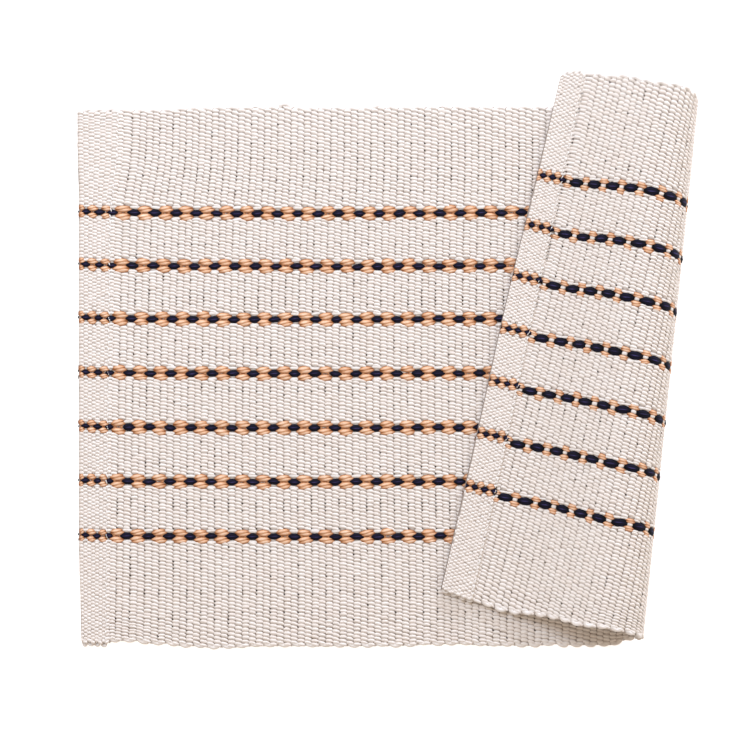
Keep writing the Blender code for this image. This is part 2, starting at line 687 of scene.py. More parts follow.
@dataclass(frozen=True)
class FloatShape:
    """Profile of one float: a pillow that dips at its ends and sides.

    Heights are off the middle of the cloth.  plies is how many strands lie
    side by side, groove the depth between them, twist how far they wind over.
    The float narrows by taper towards both ends, and by corner more towards the
    one that is seen on the right; blunt is the power of that.  shade scales its
    exposure, so that below 1 the float is painted darker, as painted shade, and
    groove_shade paints shade in the groove between plies.
    """

    crown: float = 1.16
    rim: float = 0.3
    left_end: float = 0.62
    right_end: float = 0.38
    taper: float = 0.12
    fullness: float = 2.6
    plies: int = 1
    groove: float = 0.0
    twist: float = 0.0
    blunt: float = 3.0
    corner: float = 0.0
    shade: float = 1.0
    side_round: Pair = (2.2, 0.9)
    groove_width: float = 0.22
    groove_shade: float = 0.35

    def width(self, a: Array) -> Array:
        """Share of the full width at place a along the float, as it is seen."""
        taper = self.taper + self.corner * (a > 0.0)
        return 1.0 - taper * np.abs(a) ** self.blunt

    def surface(self, a: Array, b: Array, lift: Array) -> tuple[Array, Array]:
        """Work out the surface: the crown falls to the ends and the rim.

        It falls to the ends as |a|^fullness and to the rim as |b|^2.2, less a
        narrow groove between two plies.

        Args:
            a: place along the float as it is seen, from -1 to 1.
            b: place across it, from -1 to 1.
            lift: how much its crown stands proud.

        Returns:
            Height off the middle of the cloth, and how exposed the point is, less the
            painted shade of the groove and scaled by shade.
        """
        end = np.where(a > 0.0, self.right_end, self.left_end)
        crest = end + (self.crown + lift - end) * (1.0 - np.abs(a) ** self.fullness)
        power, roundness = self.side_round
        height = self.rim + (crest - self.rim) * (1.0 - np.abs(b) ** power) ** roundness
        cleft = 0.0 * height
        for ply in range(1, self.plies):
            valley = 2.0 * ply / self.plies - 1.0 + self.twist * a
            cleft = cleft + np.exp(-((b - valley) / self.groove_width) ** 2)
        height = height - self.groove * cleft
        # Painted shade: exposure falls towards the rim and the low ends, drops in the groove between
        # plies and is scaled by shade; the finishes colour it from dark to light.
        shown = np.clip((height - self.rim) / (self.crown - self.rim), 0.0, 1.0)
        return height, (shown - self.groove_shade * cleft) * self.shade


@dataclass
class Floats:
    """A set of like floats on one face: middles, sizes and unevenness."""

    s: Array
    v: Array
    length: Array
    half: Array
    bow: Array
    slant: Array
    lift: Array
    tint: Array
    face: Face
    shape: FloatShape

    def rows(self) -> list[Array]:
        """List the values that differ from float to float."""
        return [self.s, self.v, self.length, self.half, self.bow, self.slant, self.lift, self.tint]

    def only(self, keep: Array) -> "Floats":
        """Keep the floats where keep is true."""
        return Floats(*(row[keep] for row in self.rows()), self.face, self.shape)

    def grids(self, cloth: Cloth, sight: Sight, chart: tuple[float, float, float],
              strip: StripLay | None = None) -> Grids:
        """Make every float's surface.

        With a from -1 to 1 along the float and b from -1 to 1 across it the
        place is s + a length / 2 and v + b half width(a) + bow (1 - a a) - slant a.

        Args:
            cloth: carries the flat points to the fold.
            sight: how finely each float is divided.
            chart: low and high side of the piece's layout, and its share's start.
            strip: how the far hem strip is shifted, if these floats are on it.

        Returns:
            One grid for each float.
        """
        along, across = sight.value
        sign = self.face.value
        a = spread(along, 0.8)[None, :, None]
        b = sign * spread(across, 0.9)[None, None, :]
        s0, v0, length, half, bow, slant, lift = (row[:, None, None] for row in self.rows()[:-1])
        seen_a = sign * a
        s = s0 + a * length / 2.0 + 0.0 * b
        v = v0 + b * half * self.shape.width(seen_a) + bow * (1.0 - a * a) - slant * seen_a
        height, shown = self.shape.surface(seen_a, b, lift)
        # Painted shade: the floats are coloured darker towards the rounded left end of the mat.
        shown = shown * (0.45 + 0.55 * smooth(s / cloth.end_shade))
        thread = join(s, v, shown)
        low, high, share = chart
        flat_s = (s0 + a * length * CHART_SHARE / 2.0) / LENGTH
        flat_v = (v0 + b * half * CHART_SHARE - low) / (high - low)
        places = join(flat_s, share + 0.5 * flat_v)
        if strip:
            s, v = strip.shift(s, v)
        return Grids(cloth.lay(s, v, height, sign), thread, self.tint, places)


def uneven(base: tuple[Array | float, ...], share: Array | float, sizes: tuple[float, ...],
           shape: tuple[int, int], seed: int) -> list[Array]:
    """Give laid-out floats their own small differences, and each a tint.

    Args:
        base: values as Floats lists them, the tint left out.
        share: how much of the full difference each float takes.
        sizes: full size of the difference of each value.
        shape: rows and columns of floats.
        seed: start of the random differences.

    Returns:
        The values of every float, and its tint from 0 to 1.
    """
    chance = np.random.default_rng(seed)
    values = [value + size * share * chance.standard_normal(shape)
              for value, size in zip(base, sizes)]
    return [*values, chance.random(shape)]


@dataclass(frozen=True)
class Tube:
    """A thread that is carried along a path: its section is a lobed oval.

    strands is how many strands stand out round it, and turns how far they wind
    from end to end, in radians.
    """

    half_width: float
    half_height: float
    ring: int
    strands: int
    turns: float
    lobe: float = 0.14
    flatten: float = 0.55
    end_size: float = 0.02

    def sweep(self, cloth: Cloth, path: Array, face: Face, tint: Array,
              strip: StripLay | None = None) -> Grids:
        """Carry the oval along flat paths.

        At angle p round the path and t along it its radius is
        1 + lobe cos(strands p + turns t).  Its width lies in the cloth, square
        to the path, and its height off the cloth.  It grows flat towards both
        ends and closes almost to a point there.

        Args:
            cloth: carries the flat points to the fold.
            path: (paths, points, 3) of s, v and height.
            face: side that height is counted on.
            tint: one number for each path.
            strip: how the far hem strip is shifted, if the paths are on it.

        Returns:
            One closed tube for each path.
        """
        count, steps = path.shape[:2]
        step = np.gradient(path[..., :2], axis=1)
        step /= np.linalg.norm(step, axis=-1, keepdims=True)
        side = join(step[..., 1], -step[..., 0])[:, :, None, :]
        share = np.linspace(0.0, 1.0, steps)[None, :, None]
        off = np.abs(2.0 * share - 1.0)
        angle = face.value * 2.0 * np.pi * np.arange(self.ring)[None, None, :] / self.ring
        radius = 1.0 + self.lobe * np.cos(self.strands * angle + self.turns * share)
        radius = radius * np.sqrt(np.clip(1.0 - off ** 8, self.end_size, 1.0))
        flat = path[:, :, None, :2] + side * (self.half_width * np.cos(angle) * radius)[..., None]
        rise_off = self.half_height * (1.0 - self.flatten * off ** 3) * np.sin(angle) * radius
        height = path[:, :, None, 2] + rise_off * face.value
        s, v, height = np.broadcast_arrays(flat[..., 0], flat[..., 1], height)
        # Painted shade: darker in the grooves between strands and on the tube's sides, lighter on
        # its top and underside.
        shown = np.clip(0.60 + 1.2 * (radius - 1.0) + 0.3 * np.abs(np.sin(angle)), 0.0, 1.0)
        thread = join(s, v, shown)
        turn = 0.98 * np.arange(self.ring + 1)[None, None, :] / self.ring
        level = (np.arange(count)[:, None, None] + 0.9 * share) / count
        if strip:
            s, v = strip.shift(s, v)
        points = cloth.lay(s, v, height, float(face.value))
        return Grids(points, thread, tint, join(turn, level), closed=True)


# Finishes


def add_node(tree: bpy.types.NodeTree, kind: str,
             settings: dict[str | int, object] | None = None,
             links: dict[str | int, Socket] | None = None) -> bpy.types.Node:
    """Add a node with its settings, socket values and incoming links.

    Args:
        tree: node tree to add to.
        kind: the node's type name.
        settings: values by socket name or number, or by the node's own property.
        links: sockets to join to inputs, by input name or number.

    Returns:
        The new node.
    """
    node = tree.nodes.new(kind)
    for key, value in (settings or {}).items():
        if isinstance(key, int) or key in node.inputs:
            node.inputs[key].default_value = value
        else:
            setattr(node, key, value)
    for key, socket in (links or {}).items():
        tree.links.new(socket, node.inputs[key])
    return node


@dataclass(frozen=True)
class YarnFinish:
    """Spun cotton yarn: matt, with painted shade that darkens it where it lies deep and between its
    strands, and painted light on its crown.

    hollow, body and crown are the colours from the deepest to the most
    exposed fibres: the hollow colour is painted shade and the crown colour
    painted light; tinted is where the yarn's uneven tint leads.
    """

    name: str
    hollow: str
    body: str
    crown: str
    tinted: str
    tint_share: float = 0.35
    stops: tuple[float, float, float] = (0.08, 0.42, 0.80)
    roughness: float = 0.9
    sheen: float = 0.15
    specular: float = 0.25
    fibre_per_mm: Pair = (0.6, 4.0)
    fibre_contrast: float = 0.18
    bump_mm: float = 0.08

    def make(self) -> Material:
        """Build the material: exposure sets the colour as painted shade and painted crown light,
        fibres streak it.

        Returns:
            The new material.
        """
        finish = bpy.data.materials.new(self.name)
        finish.use_nodes = True
        tree = finish.node_tree
        shader = tree.nodes["Principled BSDF"]
        thread, tint = (add_node(tree, "ShaderNodeAttribute", {"attribute_name": mark.value})
                        for mark in (Mark.THREAD, Mark.TINT))
        parts = add_node(tree, "ShaderNodeSeparateXYZ", links={0: thread.outputs["Vector"]})
        # Painted shade: the ramp turns low exposure into the dark hollow colour and high exposure
        # into the lighter crown colour.
        ramp = add_node(tree, "ShaderNodeValToRGB", links={0: parts.outputs["Z"]})
        stops = ramp.color_ramp.elements
        stops[0].color = linear(self.hollow)
        stops[1].color = linear(self.crown)
        stops[0].position, stops[1].position = self.stops[0], self.stops[2]
        stops.new(self.stops[1]).color = linear(self.body)
        along = add_node(tree, "ShaderNodeMapping", {"Scale": (*self.fibre_per_mm, 1.0)},
                         {"Vector": thread.outputs["Vector"]})
        fibres = add_node(tree, "ShaderNodeTexNoise",
                          {"Scale": 1.0, "Detail": 3.0, "Roughness": 0.6},
                          {"Vector": along.outputs[0]})
        share = add_node(tree, "ShaderNodeMath", {"operation": "MULTIPLY", 1: self.tint_share},
                         {0: tint.outputs["Fac"]})
        multiply = {"data_type": "RGBA", "blend_type": "MULTIPLY"}
        tinted = add_node(tree, "ShaderNodeMix", {**multiply, 7: linear(self.tinted)},
                          {0: share.outputs[0], 6: ramp.outputs["Color"]})
        streak = add_node(tree, "ShaderNodeMapRange",
                          {"From Min": 0.35, "From Max": 0.65,
                           "To Min": 1.0 - self.fibre_contrast, "To Max": 1.0},
                          {"Value": fibres.outputs["Fac"]})
        colour = add_node(tree, "ShaderNodeMix", {**multiply, 0: 1.0},
                          {6: tinted.outputs[2], 7: streak.outputs["Result"]})
        bump = add_node(tree, "ShaderNodeBump", {"Strength": 0.6, "Distance": self.bump_mm * MM},
                        {"Height": fibres.outputs["Fac"]})
        shader.inputs["Roughness"].default_value = self.roughness
        shader.inputs["Sheen Weight"].default_value = self.sheen
        shader.inputs["Specular IOR Level"].default_value = self.specular
        tree.links.new(colour.outputs[2], shader.inputs["Base Color"])
        tree.links.new(bump.outputs["Normal"], shader.inputs["Normal"])
        return finish


# Unbleached cotton, carded and loosely spun: chalky; its warm grey hollow colour is painted shade
# between the floats, and its crown colour painted light.
NATURAL_COTTON = YarnFinish("natural_cotton", "D0C5BC", "EBE3DC", "EEE7E1", "F8F0EA",
                            stops=(0.05, 0.45, 0.95), specular=0.15, fibre_contrast=0.13)
# The thick weft, of the same cotton; its darker hollow and body colours are painted shade, for where
# it lies between and under the floats and at the edge loops.
WEFT_IN_PAINTED_SHADE = YarnFinish("weft_in_painted_shade", "8C7D72", "D2C9C2", "EFE9E4", "F6ECE2")
# Two-ply cotton yarn in a light tan dye; its dark hollow colour is painted shade between the plies
# and in its hollows, and its pale crown painted light.
TAN_YARN = YarnFinish("tan_yarn", "94592F", "E0AC84", "FFE9D2", "F4DAC4",
                      stops=(0.10, 0.55, 1.0), fibre_per_mm=(0.5, 1.3),
                      fibre_contrast=0.22, sheen=0.1)
# Soft cotton roving in a dark navy dye; its black hollow colour is painted shade, and its lighter
# blue crown painted light.
NAVY_YARN = YarnFinish("navy_yarn", "010106", "16132E", "564F86", "C8C0E0",
                       stops=(0.20, 0.60, 1.0), fibre_per_mm=(0.5, 1.6),
                       fibre_contrast=0.6, sheen=0.04, specular=0.2)
# Cotton sewing thread in the colour of the cloth, smoother and finer than its yarn; its darker
# hollow colour is painted shade.
SEWING_THREAD = YarnFinish("cotton_thread", "B9AFA6", "E6E0D9", "F3EFEA", "FFFFFF",
                           roughness=0.7, fibre_contrast=0.08)
# Painted shade: a near-black brown for the open gap where two picks part, standing for the shade
# under the cloth.
GAP_SHADE_PAINT = YarnFinish("painted_gap_shade", "1C1009", "32221A", "4E3C30", "FFFFFF",
                       sheen=0.0, specular=0.0)


# The pieces


@dataclass
class CoreSheet:
    """The body of the cloth under the floats: thick picks with hollows between, coloured dark as
    painted shade where it shows between the floats.
    """

    cloth: Cloth
    weave: Weave
    top: float = 0.42
    hollow: float = 0.14
    inset: float = 2.4
    strips: int = 12
    seam_dip: Pair = (0.42, 1.5)
    steps_per_pick: int = 4
    # Painted shade: the core's exposure stays low, so the finish colours it dark.
    shown: Pair = (0.05, 0.35)
    tint: float = 0.5

    def ridges(self) -> tuple[Array, Array]:
        """Swell over each pick as half a sine.

        Returns:
            Places along the length and the share of full height at each.
        """
        picks = self.weave.front()
        step = np.arange(self.steps_per_pick) / self.steps_per_pick
        s = (picks.start[:, None] + picks.width[:, None] * step).ravel()
        swell = np.tile(np.sin(np.pi * step), len(picks.start))
        s = np.concatenate([[0.0], s[1:], [LENGTH]])
        return s[:, None], np.concatenate([[0.0], swell[1:], [0.0]])[:, None]

    def build(self, finish: Material) -> Piece:
        """Make the closed sheet: front and back grids joined round the rim.

        Args:
            finish: its material.

        Returns:
            The new piece.
        """
        s, swell = self.ridges()
        v = np.linspace(self.inset, WIDTH - self.inset, self.strips + 1)[None, :]
        height = self.hollow + (self.top - self.hollow) * swell
        depth, reach = self.seam_dip
        dip = depth * np.exp(-((s - self.cloth.seam(v)) / reach) ** 2)
        front = self.cloth.lay(s, v, height, 1.0)
        back = self.cloth.lay(s, v, height - dip, -1.0)
        ring = np.concatenate([front, back[:, ::-1]], axis=1)
        # Painted shade: low exposure, a little higher on each pick's swell.
        flat = join(s, v, self.shown[0] + self.shown[1] * swell)
        thread = np.concatenate([flat, flat[:, ::-1]], axis=1)
        chart = join(s / LENGTH, np.linspace(0.0, 1.0, ring.shape[1] + 1)[None, :])
        body = Grids(ring[None, ::-1], thread[None, ::-1], np.array([self.tint]),
                     chart[None, ::-1], closed=True)
        piece = build_piece("mat_core", [body, *self.caps(ring, thread)], finish)
        weld(piece)
        return piece

    def caps(self, ring: Array, thread: Array) -> list[Grids]:
        """Close both ends with a strip between the front row and the back row.

        Args:
            ring: points of the sheet, front then back in each row.
            thread: their thread values.

        Returns:
            One grid for each end.
        """
        half = ring.shape[1] // 2
        place = np.stack(np.meshgrid([0.0, 0.001], np.linspace(0, 1, half), indexing="ij"), -1)
        found = []
        for row, order in ((0, 1), (-1, -1)):
            pair, names = (np.stack([grid[row, :half], grid[row, :half - 1:-1]])[::order][None]
                           for grid in (ring, thread))
            found.append(Grids(pair, names, np.array([self.tint]), place[None]))
        return found


@dataclass(frozen=True)
class Lay:
    """How one kind of ground float lies: profile, bow, slant and overlap."""

    shape: FloatShape
    bow: float
    slant: float
    overlap: float


# On the ribs every second pick's floats dive at their right end; the others
# lie calm.  In the hems the picks are narrow and the floats are round dots.
STRONG = Lay(FloatShape(1.16, 0.22, 0.62, 0.34, 0.22, corner=0.22), 0.34, 0.50, 1.04)
CALM = Lay(FloatShape(1.13, 0.26, 0.56, 0.44, 0.28, corner=0.08), 0.30, 0.24, 1.05)
DOT = Lay(FloatShape(1.14, 0.24, 0.52, 0.48, 0.20, 2.2), 0.10, 0.10, 1.20)


@dataclass
class GroundFloats:
    """The natural warp threads of one plain band between two stripes."""

    cloth: Cloth
    weave: Weave
    number: int
    low: float
    high: float
    fullness: float = 1.05
    fine_pick: float = 2.9
    tallest: float = 1.19
    seam_room: float = 0.1
    least_width: float = 0.8
    edge_rows: Pair = (-1.7, 0.1)
    margin: float = 2.0
    end_room: float = 0.3
    differences: tuple[float, ...] = (0.10, 0.08, 0.08, 0.05, 0.08, 0.09, 0.05)

    def floats(self, picks: Columns, face: Face, lay: Lay, seed: int) -> Floats:
        """Lay out the floats like bricks: every second pick is half a row off.

        The last pick of the back ends at the far seam, row by row.  The two
        outer bands run on by a row or two under the side edge.

        Args:
            picks: the picks that they pass over.
            face: side of the cloth.
            lay: how they lie.
            seed: start of their random differences.

        Returns:
            One float for each pick and row.
        """
        rows = round((self.high - self.low) / self.weave.row_pitch)
        pitch = (self.high - self.low) / rows
        first = -2 if self.number == 0 else 0
        final = rows + (self.number == len(self.weave.stripes))
        offset = (picks.number + (face is Face.BACK)) % 2
        row = np.arange(first, final + 1)[None, :] + 0.5 * offset[:, None]
        inside = (row > self.edge_rows[0]) & (row <= final + self.edge_rows[1])
        v = self.low + row * pitch
        start, width = np.broadcast_arrays(picks.start[:, None], picks.width[:, None] + 0.0 * v)
        last = picks.number == self.weave.hem_picks + self.weave.rib_picks
        cut = np.maximum(self.cloth.seam(v) - self.seam_room - start, self.least_width)
        width = np.where(last[:, None] & (face is Face.BACK), cut, width)
        base = (start + width / 2.0, v, width * lay.overlap, pitch / 2.0 * self.fullness,
                lay.bow, lay.slant, 0.0)
        *values, lift, tint = uneven(base, 1.0, self.differences, v.shape, seed)
        lift = np.minimum(lift, self.tallest - lay.shape.crown)
        floats = Floats(*(value.ravel() for value in (*values, lift, tint)), face, lay.shape)
        return floats.only(inside.ravel())

    def build(self, finish: Material) -> Piece:
        """Make the band's floats, finer where they can be looked at.

        Args:
            finish: their material.

        Returns:
            The new piece.
        """
        layout = (self.low - self.margin, self.high + self.margin)
        parts = []
        for face, picks in ((Face.FRONT, self.weave.front()), (Face.BACK, self.weave.back())):
            fine = picks.width < self.fine_pick
            strong = picks.number % 2 == 0
            chart = (*layout, 0.0 if face is Face.FRONT else 0.5)
            kinds = ((DOT, fine), (STRONG, ~fine & strong), (CALM, ~fine & ~strong))
            for step, (lay, keep) in enumerate(kinds):
                seed = 100 * self.number + 10 * step + face.value + 1
                floats = self.floats(picks.only(keep), face, lay, seed)
                seen = self.cloth.seen(floats.s, floats.v, face)
                parts.append(floats.only(seen).grids(self.cloth, Sight.NEAR, chart))
                parts.append(floats.only(~seen).grids(self.cloth, Sight.HIDDEN, chart))
        return build_piece(f"ground_band_{self.number}", parts, finish)

    def strip(self, far: bool) -> Grids:
        """Make the part of a hem strip that crosses this band.

        Args:
            far: True for the far hem, False for the left one.

        Returns:
            One grid for each float.
        """
        seed = Seed.STRIP.value + 2 * self.number + far
        floats = self.floats(self.weave.strip(far), Face.BACK, DOT, seed)
        chart = (0.0, WIDTH, 0.0)
        if not far:
            return floats.grids(self.cloth, Sight.HIDDEN, chart)
        inside = floats.s + FAR_STRIP.lean(floats.v) < LENGTH - self.end_room
        return floats.only(inside).grids(self.cloth, Sight.NEAR, chart, FAR_STRIP)


@dataclass(frozen=True)
class Motif:
    """One float in a stripe's repeat of three picks.

    phase is its first pick's number modulo three and picks how many it passes
    over.  It lies at each of the offsets from the stripe's middle, and it is
    stretch times its picks plus reach long.
    """

    yarn: Yarn
    phase: int
    picks: int
    offsets: tuple[float, ...]
    stretch: float
    reach: float
    half: float
    slant: float
    shape: FloatShape


TAN_LENS = FloatShape(1.40, 0.42, 0.60, 0.60, 0.58, 2.2, 2, 0.36, 0.50, blunt=2.2)
TAN_KNOB = FloatShape(1.26, 0.40, 0.50, 0.50, 0.42, 2.2, 2, 0.30, 0.30, blunt=2.0)
# Painted shade: a low tan float coloured dark, for the shade between the two tan floats of a pair.
TAN_HOLLOW = FloatShape(0.60, 0.20, 0.12, 0.12, 0.20, 2.2, shade=0.35)
NAVY_DASH = FloatShape(1.42, 0.35, 0.95, 0.95, 0.82, 2.2, 3, 0.26, 0.25, blunt=2.1)
NAVY_OVAL = FloatShape(1.48, 0.35, 0.60, 0.60, 0.62, 2.4, 3, 0.26, 0.20, blunt=2.4)
WEFT_PATCH = FloatShape(1.00, 0.30, 0.60, 0.60, 0.15, 2.6)
WEFT_BRIDGE = FloatShape(1.02, 0.30, 0.50, 0.50, 0.20, 2.4)

# On the front a pair of tan floats spans two picks and a navy one the third.
FRONT_MOTIFS = (
    Motif(Yarn.TAN, 2, 2, (2.32, -2.32), 0.974, 1.1, 2.28, 0.0, TAN_LENS),
    Motif(Yarn.NAVY, 1, 1, (0.0,), 1.46, 1.8, 2.30, 0.0, NAVY_DASH),
    Motif(Yarn.WEFT, 1, 1, (3.55, -3.55), 1.0, 1.6, 1.25, 0.0, WEFT_PATCH),
    Motif(Yarn.TAN, 2, 1, (0.0,), 0.80, 0.0, 1.10, 0.0, TAN_HOLLOW),
    Motif(Yarn.TAN, 0, 1, (0.0,), 0.80, 0.0, 1.10, 0.0, TAN_HOLLOW),
)
# The back shows what the front hides: navy over two picks, tan over the third.
BACK_MOTIFS = (
    Motif(Yarn.NAVY, 2, 2, (0.0,), 0.974, 1.9, 2.65, 0.0, NAVY_OVAL),
    Motif(Yarn.TAN, 1, 1, (2.64, -2.64), 1.0, 2.5, 1.82, 0.45, TAN_KNOB),
    Motif(Yarn.WEFT, 1, 1, (0.0,), 0.80, 0.0, 1.30, 0.0, WEFT_BRIDGE),
    Motif(Yarn.WEFT, 2, 1, (3.35, -3.35), 1.0, 0.6, 0.95, 0.0, WEFT_PATCH),
    Motif(Yarn.WEFT, 0, 1, (3.35, -3.35), 1.0, 0.6, 0.95, 0.0, WEFT_PATCH),
)


@dataclass
class Stripe:
    """One dashed stripe: tan and navy yarns and the weft that shows between."""

    cloth: Cloth
    weave: Weave
    number: int
    middle: float
    reach: float = 7.0
    fine_pick: float = 3.0
    fine_share: float = 0.82
    fine_pull: float = 0.4
    hidden_crown: float = 1.16
    differences: tuple[float, ...] = (0.18, 0.14, 0.35, 0.12, 0.16, 0.2, 0.03)

    def floats(self, motif: Motif, picks: Columns, face: Face, seed: int) -> Floats:
        """Lay out one motif along the stripe.

        Args:
            motif: the float that repeats.
            picks: picks of the face or of a hem strip.
            face: side of the cloth.
            seed: start of their random differences.

        Returns:
            One float for each repeat and offset.
        """
        middle, width = (value[:, None] for value in picks.spans(motif.phase, motif.picks))
        shape = (len(middle), len(motif.offsets))
        fine = width / motif.picks < self.fine_pick
        share = np.where(fine, self.fine_share, 1.0) + np.zeros(shape)
        offset = np.array(motif.offsets) * (1.0 - self.fine_pull + self.fine_pull * share)
        base = (middle, self.middle + offset, motif.stretch * width + motif.reach,
                motif.half * share, 0.0, motif.slant, 0.0)
        values = uneven(base, share, self.differences, shape, seed)
        return Floats(*(value.ravel() for value in values), face, motif.shape)

    def faces(self) -> tuple[tuple[Face, Columns, tuple[Motif, ...], StripLay | None], ...]:
        """List both faces and both hem strips.

        Returns:
            Side, picks, motifs and shift of each.
        """
        weave = self.weave
        return ((Face.FRONT, weave.front(), FRONT_MOTIFS, None),
                (Face.BACK, weave.back(), BACK_MOTIFS, None),
                (Face.BACK, weave.strip(False), FRONT_MOTIFS, None),
                (Face.BACK, weave.strip(True), FRONT_MOTIFS, FAR_STRIP))

    def parts(self, yarn: Yarn) -> list[Grids]:
        """Make every float of one yarn, lower where the cloth lies on something.

        Args:
            yarn: the yarn that is wanted.

        Returns:
            Its floats on both faces and both strips.
        """
        near, hidden = Sight.YARN_NEAR, Sight.YARN_HIDDEN
        if yarn is Yarn.WEFT:
            near, hidden = Sight.NEAR, Sight.HIDDEN
        found = []
        for place, (face, picks, motifs, strip) in enumerate(self.faces()):
            chart = (self.middle - self.reach, self.middle + self.reach, 0.25 * place)
            for step, motif in enumerate(motifs):
                if motif.yarn is not yarn:
                    continue
                seed = Seed.STRIPE.value + 100 * self.number + 10 * place + step
                floats = self.floats(motif, picks, face, seed)
                seen = self.cloth.seen(floats.s, floats.v, face)
                lower = replace(motif.shape, crown=min(motif.shape.crown, self.hidden_crown))
                unseen = replace(floats.only(~seen), shape=lower)
                found.append(floats.only(seen).grids(self.cloth, near, chart, strip))
                found.append(unseen.grids(self.cloth, hidden, chart, strip))
        return found


@dataclass(frozen=True)
class LoopYarn:
    """One kind of turning cross thread.

    half_loop, crest and tip shape its arch; lift is how high it lies, and
    uneven how much the tips differ.
    """

    half_loop: float
    crest: float
    tip: float
    tube: Tube
    lift: float
    uneven: float


RIB_LOOP = LoopYarn(2.9, 1.1, 0.0, Tube(1.45, 0.92, 9, 3, 8.0), -0.22, 0.32)
HEM_LOOP = LoopYarn(1.5, 0.6, 0.0, Tube(0.98, 0.62, 9, 3, 8.0), 0.20, 0.15)


@dataclass
class Selvedge:
    """The cross threads turning back along one side edge, two picks a loop."""

    cloth: Cloth
    weave: Weave
    side: Side
    inner: float = 5.2
    rib_tip: Pair = (-0.8, 0.0)
    hem_top: Pair = (1.1, -0.4)
    hem_under: Pair = (-1.8, -0.4)
    odd_loops: tuple[Pair, ...] = ((105.5, 1.0), (122.7, -2.0), (131.3, 1.0), (225.7, 2.6))
    odd_reach: float = 4.2
    place_error: float = 0.2
    lift_error: float = 0.1
    hidden_picks: int = 2
    points: int = 13

    def middles(self, picks: Columns) -> Array:
        """Pair neighbouring picks, one pick later on the far side.

        Args:
            picks: the picks that turn back at this edge.

        Returns:
            Middle of each pair.
        """
        first = 0 if self.side is Side.NEAR else 1
        middle = picks.middle[first:]
        return middle[:len(middle) // 2 * 2].reshape(-1, 2).mean(axis=1)

    def tips(self, middle: Array, yarn: LoopYarn) -> Array:
        """Set each tip; a few loops of the far edge sit deeper or prouder.

        Args:
            middle: middle of each loop.
            yarn: kind of thread.

        Returns:
            Depth of each tip in from the edge.
        """
        tip = np.full(len(middle), yarn.tip)
        if self.side is Side.FAR:
            for place, more in self.odd_loops:
                tip = tip + more * (np.abs(middle - place) < self.odd_reach)
        return tip

    def paths(self, picks: Columns, yarn: LoopYarn, seed: int) -> Array:
        """Work out the loops: wide shallow arches whose legs run into the cloth.

        With t from -1 to 1: x = half_loop sin(pi t / 2), s = middle + x, and
        the depth is outer + crest (x / half_loop)^2 + (inner - outer - crest) |t|^5.

        Args:
            picks: the picks that turn back at this edge.
            yarn: kind of thread.
            seed: start of the random differences.

        Returns:
            Points as (loops, points, 3) of s, v and height.
        """
        middle = self.middles(picks)
        count = len(middle)
        chance = np.random.default_rng(seed)
        t = np.linspace(-1.0, 1.0, self.points)[None, :]
        x = np.sin(np.pi * t / 2.0)
        s = middle[:, None] + chance.normal(0.0, self.place_error, (count, 1)) + yarn.half_loop * x
        tip = self.tips(middle, yarn) + chance.normal(0.0, yarn.uneven, count)
        outer = (tip + yarn.tube.half_width)[:, None]
        depth = outer + yarn.crest * x ** 2
        depth = depth + (self.inner - outer - yarn.crest) * np.abs(t) ** 5
        v = depth if self.side is Side.NEAR else WIDTH - depth
        error = chance.normal(0.0, self.lift_error, (count, 1))
        return join(s, v, yarn.lift + error * (1.0 - np.abs(t)))

    def tubes(self, picks: Columns, face: Face, yarn: LoopYarn,
              strip: StripLay | None = None) -> Grids:
        """Make the loops of a run of picks.

        Args:
            picks: the picks that turn back at this edge.
            face: side that they lie on.
            yarn: kind of thread.
            strip: how the far hem strip is shifted, if they are on it.

        Returns:
            One tube for each loop.
        """
        seed = Seed.SELVEDGE.value + 10 * self.side.value + 2 * face.value + len(picks.number)
        path = self.paths(picks, yarn, seed)
        tint = np.random.default_rng(seed + 1).random(len(path))
        return yarn.tube.sweep(self.cloth, path, face, tint, strip)

    def build(self, finish: Material) -> Piece:
        """Make the edge: rib loops, and finer ones on both layers of the hems.

        Args:
            finish: its material.

        Returns:
            The new piece.
        """
        front, strip = self.weave.front(), self.weave.strip(True)
        ribs = self.weave.is_rib(front.number)
        left = front.number < self.weave.hem_picks
        beyond = self.side is Side.FAR
        shown = strip.only(strip.number > self.hidden_picks)
        rib = replace(RIB_LOOP, tip=self.rib_tip[beyond])
        top = replace(HEM_LOOP, tip=self.hem_top[beyond])
        under = replace(HEM_LOOP, tip=self.hem_under[beyond])
        parts = [
            self.tubes(front.only(ribs), Face.FRONT, rib),
            self.tubes(front.only(left), Face.FRONT, top),
            self.tubes(self.weave.strip(False), Face.BACK, under),
            self.tubes(front.only(~left & ~ribs), Face.FRONT, HEM_LOOP),
            self.tubes(shown, Face.BACK, HEM_LOOP, FAR_STRIP),
        ]
        return build_piece(f"{self.side.name.lower()}_selvedge", parts, finish)


